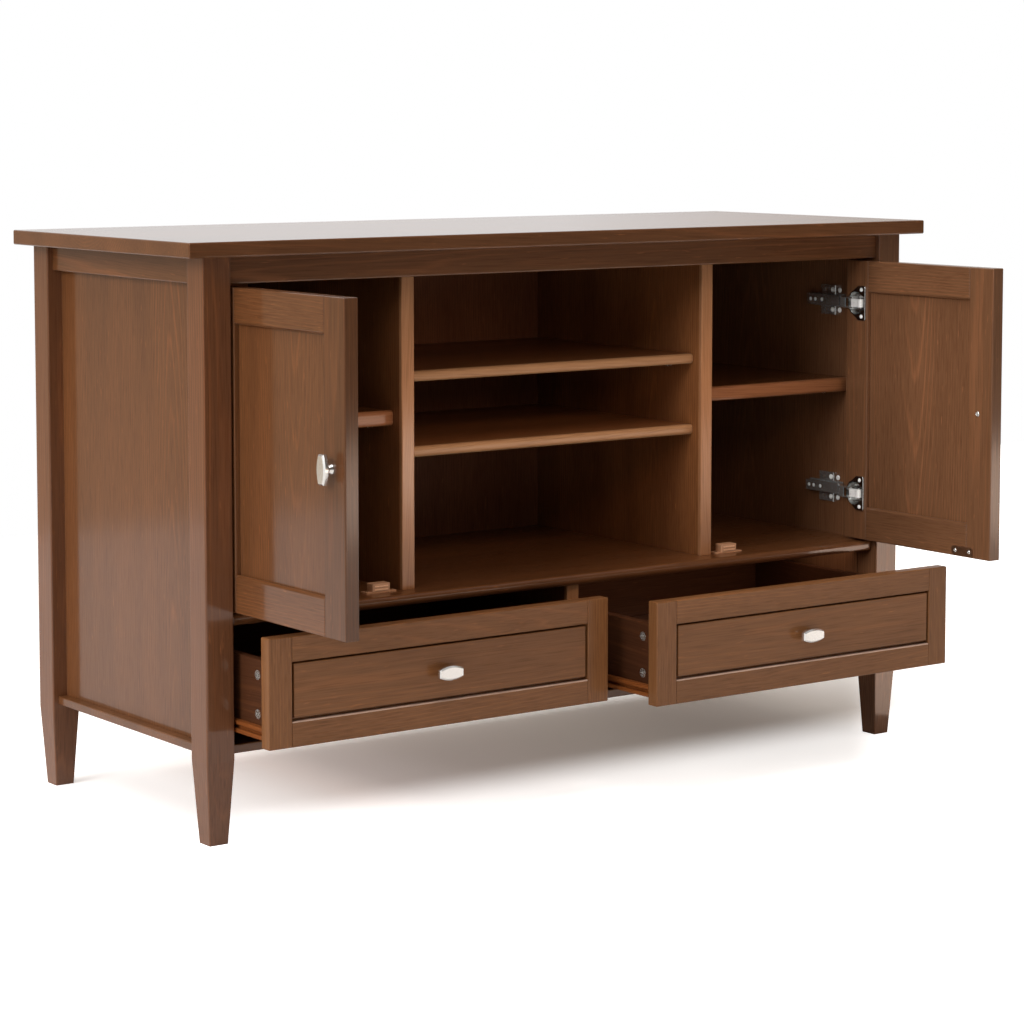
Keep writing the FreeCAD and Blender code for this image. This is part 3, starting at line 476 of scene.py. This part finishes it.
def clothe(node, material):
    """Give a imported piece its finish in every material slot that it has."""
    slots = nodes[node].data.materials
    for i in range(len(slots)):
        slots[i] = material
    if not len(slots):
        slots.append(material)


def stain_boards():
    serial = 0
    for (grain, stain), boards in BOARDS.items():
        for node in boards:
            serial += 1
            clothe(node, stained_wood(node, serial, grain, stain))


stain_boards()


# Metal and plastic: the stretch of mottle over which a tone turns, how far the mottle takes a metal's
# roughness down and up, and how deep each skin is
DULL_TO_BRIGHT = (0.3, 0.7)
SHINE_SPREAD = (0.7, 1.3)
PLATE_RELIEF = 0.05
PLATE_BUMP = 0.02 * MM
NYLON_GRAIN = 0.8 * MM
NYLON_RELIEF = 0.2
NYLON_BUMP = 0.04 * MM
NYLON_ROUGHNESS = 0.42
NYLON_IOR = 1.53


def plated(name, bright, dull, roughness, grit, haze=0.0):
    """Plated metal: bright and dull are its tones, grit the size of the faint mottle in its shine, which is
    finer in the metal and drawn at 1 to 2 mm to show, and haze the share of light that a milky plating
    scatters."""
    material, tree = new_material(name)
    spot = add(tree, "TexCoord").outputs["Object"]
    mottle = add(tree, "TexNoise", Vector=spot, Scale=1 / grit, Detail=2.0).outputs[0]
    tone = add(tree, "ValToRGB", Fac=mottle, stops=list(zip(DULL_TO_BRIGHT, (dull, bright)))).outputs[0]
    shine = add(tree, "MapRange", Value=mottle, To_Min=roughness * SHINE_SPREAD[0],
                To_Max=roughness * SHINE_SPREAD[1]).outputs[0]
    relief = add(tree, "Bump", Height=mottle, Strength=PLATE_RELIEF, Distance=PLATE_BUMP).outputs[0]
    metal = add(tree, "BsdfPrincipled", Base_Color=tone, Metallic=1.0 - haze, Roughness=shine,
                Normal=relief)
    add(tree, "OutputMaterial", Surface=metal.outputs[0])
    return material


def moulded_plastic(name, light, dark):
    """Moulded nylon with a spark-eroded skin: dull, with a fine even grain drawn at 0.8 mm to show."""
    material, tree = new_material(name)
    spot = add(tree, "TexCoord").outputs["Object"]
    grain = add(tree, "TexNoise", Vector=spot, Scale=1 / NYLON_GRAIN, Detail=2.0).outputs[0]
    tone = add(tree, "ValToRGB", Fac=grain, stops=list(zip(DULL_TO_BRIGHT, (dark, light)))).outputs[0]
    relief = add(tree, "Bump", Height=grain, Strength=NYLON_RELIEF, Distance=NYLON_BUMP).outputs[0]
    plastic = add(tree, "BsdfPrincipled", Base_Color=tone, Roughness=NYLON_ROUGHNESS, IOR=NYLON_IOR,
                  Normal=relief)
    add(tree, "OutputMaterial", Surface=plastic.outputs[0])
    return material


# Knobs: soft, pale and nearly white where they face the light
nickel = plated("brushed_nickel_plate", "#EBE9E6", "#E0DDD9", 0.2, 1.5 * MM, 0.1)
# Hinge plates and arms: a mirror, so dark inside the cabinet, with a little milk in it
bright_nickel = plated("bright_nickel_plated_steel", "#DCDCDA", "#CCCCCA", 0.24, 2.0 * MM, 0.12)
# Hinge links: milky white, the brightest part of a hinge
satin_nickel = plated("satin_nickel_plated_steel", "#FCFCFA", "#F4F4F2", 0.3, 2.0 * MM, 0.8)
# Hinge cups: a clear mirror, dark in the hollow and bright along the flange's edge
cup_plate = plated("bright_nickel_cup", "#D2D2D0", "#BEBEBC", 0.2, 2.0 * MM)
# Cams, shelf pins and the screws of strike plates and door knobs: grey, with a cold sparkle
zinc = plated("clear_zinc_plate", "#DEDCD8", "#C6C4C0", 0.26, 1.2 * MM, 0.15)
# Strike plates and catch screws: dull brown metal, a shade off the wood
bronze = plated("bronze_washed_steel", "#A67E62", "#906C50", 0.42, 1.5 * MM)
# Screws of hinges and drawer knobs: milky, white dots on the dark plates
screw_plate = plated("bright_zinc_screw", "#FFFFFD", "#F6F5F2", 0.2, 1.0 * MM, 0.85)
# Catch poles: pale tan strips in the catch's face
pole_plate = plated("brass_washed_steel", "#E6BC98", "#D6AA86", 0.36, 1.5 * MM, 0.7)
# Catch bodies: flat tan, lighter than the deck under them
nylon = moulded_plastic("moulded_tan_nylon", "#C69874", "#B48463")

# Fittings by finish
FITTINGS = {
    nickel: ("left_door_knob", "right_door_knob", "left_drawer_knob", "right_drawer_knob"),
    bright_nickel: ("hinge_plates", "hinge_arms"),
    satin_nickel: ("left_hinge_links", "right_hinge_links"),
    cup_plate: ("left_door_hinge_cups", "right_door_hinge_cups"),
    zinc: ("left_drawer_cams", "right_drawer_cams", "shelf_pins"),
    bronze: ("left_door_strike_plate", "right_door_strike_plate"),
    pole_plate: ("catch_poles",),
    nylon: ("catch_bodies",),
}
for finish, fittings in FITTINGS.items():
    for fitting in fittings:
        clothe(fitting, finish)

# Screws: domed heads with a cross recess, all of one family. Sizes are shares of the head's radius, and the
# cross's depth is a share of the dome's height.
HEAD_RINGS = 22
HEAD_SPOKES = 48
DOME_SHARE = 0.42
CROSS_REACH = 0.58
CROSS_HALF = 0.13
CROSS_DEPTH = 0.75
CROSS_SOFT = 0.045
REACH_SOFT = 0.06


def screw_heads(name, places, outward, radius, material, body):
    """Screw heads at the given places on faces that look outward.

    Over rings r from 0 to 1 and spokes t round the head, the height is a dome, DOME_SHARE * sqrt(1 - r^2),
    less a cross: a soft step down inside CROSS_HALF of either of two crossed lines, fading out by
    CROSS_REACH. The rim is closed by a flat disc underneath.
    """
    share = np.sin(np.linspace(0, math.pi / 2, HEAD_RINGS))[:, None]
    turn = np.linspace(0, 2 * math.pi, HEAD_SPOKES, endpoint=False)[None, :]
    x = share * np.cos(turn)
    y = share * np.sin(turn)
    dome = DOME_SHARE * np.sqrt(np.clip(1 - share ** 2, 0, 1)) + 0 * turn
    near = np.minimum(np.abs(x), np.abs(y))
    slot_step = 0.5 - 0.5 * np.tanh((near - CROSS_HALF) / CROSS_SOFT)
    fade = 0.5 - 0.5 * np.tanh((share - CROSS_REACH) / REACH_SOFT)
    height = dome - CROSS_DEPTH * DOME_SHARE * slot_step * fade
    local = np.stack([x, y, height], -1).reshape(-1, 3) * radius
    local = np.vstack([local, [[0, 0, 0]]])
    faces = grid_faces(HEAD_RINGS, HEAD_SPOKES, True)
    rim = (HEAD_RINGS - 1) * HEAD_SPOKES + np.arange(HEAD_SPOKES)
    under = np.stack([rim, np.roll(rim, -1), np.full(HEAD_SPOKES, len(local) - 1)], -1)
    normal = np.array(outward, float)
    side = np.cross((0, 1, 0) if normal[2] else (0, 0, 1), normal)
    up = np.cross(normal, side)
    turned = local @ np.stack([side, up, normal])
    spots = np.array(places, float)
    points = (spots[:, None, :] + turned[None]).reshape(-1, 3)
    step = (np.arange(len(spots)) * len(local))[:, None, None]
    piece = new_piece(name, points, [(faces[None, :, ::-1] + step).reshape(-1, 4),
                                     (under[None, :, ::-1] + step).reshape(-1, 3)], material)
    piece.data.polygons.foreach_set("use_smooth", np.ones(len(piece.data.polygons), bool))
    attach(piece, body)


# Radii of the heads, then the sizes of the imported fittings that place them
PLATE_HEAD = 3.7 * MM
ADJUSTER_HEAD = 2.7 * MM
FLANGE_HEAD = 2.9 * MM
STRIKE_HEAD = 2.7 * MM
KNOB_HEAD = 3.6 * MM
CATCH_HEAD = 2.6 * MM
PLATE_HALF = 21 * MM
PLATE_THICK = 3 * MM
PLATE_MID = 17 * MM
PLATE_SCREW_Y = 7.5 * MM
PLATE_SCREW_Z = 14.25 * MM
FLANGE_HALF = 24.5 * MM
FLANGE_RISE = 2.6 * MM
FLANGE_SCREW_IN = 7.5 * MM
FLANGE_SCREW_Z = 19.0 * MM
STRIKE_SCREW_Y = 13 * MM
WEB_RISE = 11 * MM
WEB_SUNK = 1.1 * MM
ARM_SCREWS = (7 * MM, 17 * MM, 31 * MM)
WING_REACH = 18 * MM
WING_THICK = 1.8 * MM
CATCH_WIDE = 45 * MM


def middle(node):
    low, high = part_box(node)
    return (low + high) / 2


def hinge_screws():
    """Four screws in each mounting plate and three sunk adjusters in each arm."""
    low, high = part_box("hinge_plates")
    arm_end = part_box("hinge_arms")[1].y
    heights = (low.z + PLATE_HALF, high.z - PLATE_HALF)
    for side, way in (("left", 1), ("right", -1)):
        face = -way * (high.x - PLATE_THICK)
        web = -way * (high.x - WEB_RISE + WEB_SUNK)
        plate = [(face, low.y + PLATE_MID + dy, z + dz) for z in heights
                 for dy in (-PLATE_SCREW_Y, PLATE_SCREW_Y) for dz in (-PLATE_SCREW_Z, PLATE_SCREW_Z)]
        adjusters = [(web, arm_end - back, z) for z in heights for back in ARM_SCREWS]
        screw_heads(side + "_plate_screws", plate, (way, 0, 0), PLATE_HEAD, screw_plate, "carcass")
        screw_heads(side + "_arm_screws", adjusters, (way, 0, 0), ADJUSTER_HEAD, screw_plate, "carcass")


def door_screws(side, way):
    """Screws in a door's back: two in each hinge flange, two in the strike plate, one behind the knob."""
    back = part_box(side + "_door_free_stile")[1 if way > 0 else 0].x
    cups_low, cups_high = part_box(side + "_door_hinge_cups")
    strike = middle(side + "_door_strike_plate")
    strike_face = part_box(side + "_door_strike_plate")[1 if way > 0 else 0].x
    knob = middle(side + "_door_knob")
    body = side + "_door"
    flange = [(back + way * FLANGE_RISE, cups_low.y + FLANGE_SCREW_IN, z + dz)
              for z in (cups_low.z + FLANGE_HALF, cups_high.z - FLANGE_HALF)
              for dz in (-FLANGE_SCREW_Z, FLANGE_SCREW_Z)]
    screw_heads(body + "_flange_screws", flange, (way, 0, 0), FLANGE_HEAD, screw_plate, body)
    screw_heads(body + "_strike_screws", [(strike_face, strike.y + dy, strike.z)
                                          for dy in (-STRIKE_SCREW_Y, STRIKE_SCREW_Y)],
                (way, 0, 0), STRIKE_HEAD, zinc, body)
    screw_heads(body + "_knob_screw", [(back, knob.y, knob.z)], (way, 0, 0), KNOB_HEAD, zinc, body)


def drawer_screw(side):
    """The knob's screw, seen on the back of the drawer's front."""
    body = side + "_drawer"
    knob = middle(body + "_knob")
    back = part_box(body + "_front_panel")[1].y
    screw_heads(body + "_knob_screw", [(knob.x, back, knob.z)], (0, 1, 0), KNOB_HEAD, screw_plate, body)


def catch_screws():
    """One screw through each wing of the two catches, down into the deck."""
    low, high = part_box("catch_bodies")
    mid_y = (low.y + high.y) / 2
    mid_x = high.x - CATCH_WIDE / 2
    places = [(side * mid_x + dx, mid_y, low.z + WING_THICK)
              for side in (-1, 1) for dx in (-WING_REACH, WING_REACH)]
    screw_heads("catch_screws", places, (0, 0, 1), CATCH_HEAD, bronze, "carcass")


hinge_screws()
for door_side, door_way in (("left", 1), ("right", -1)):
    door_screws(door_side, door_way)
    drawer_screw(door_side)
catch_screws()
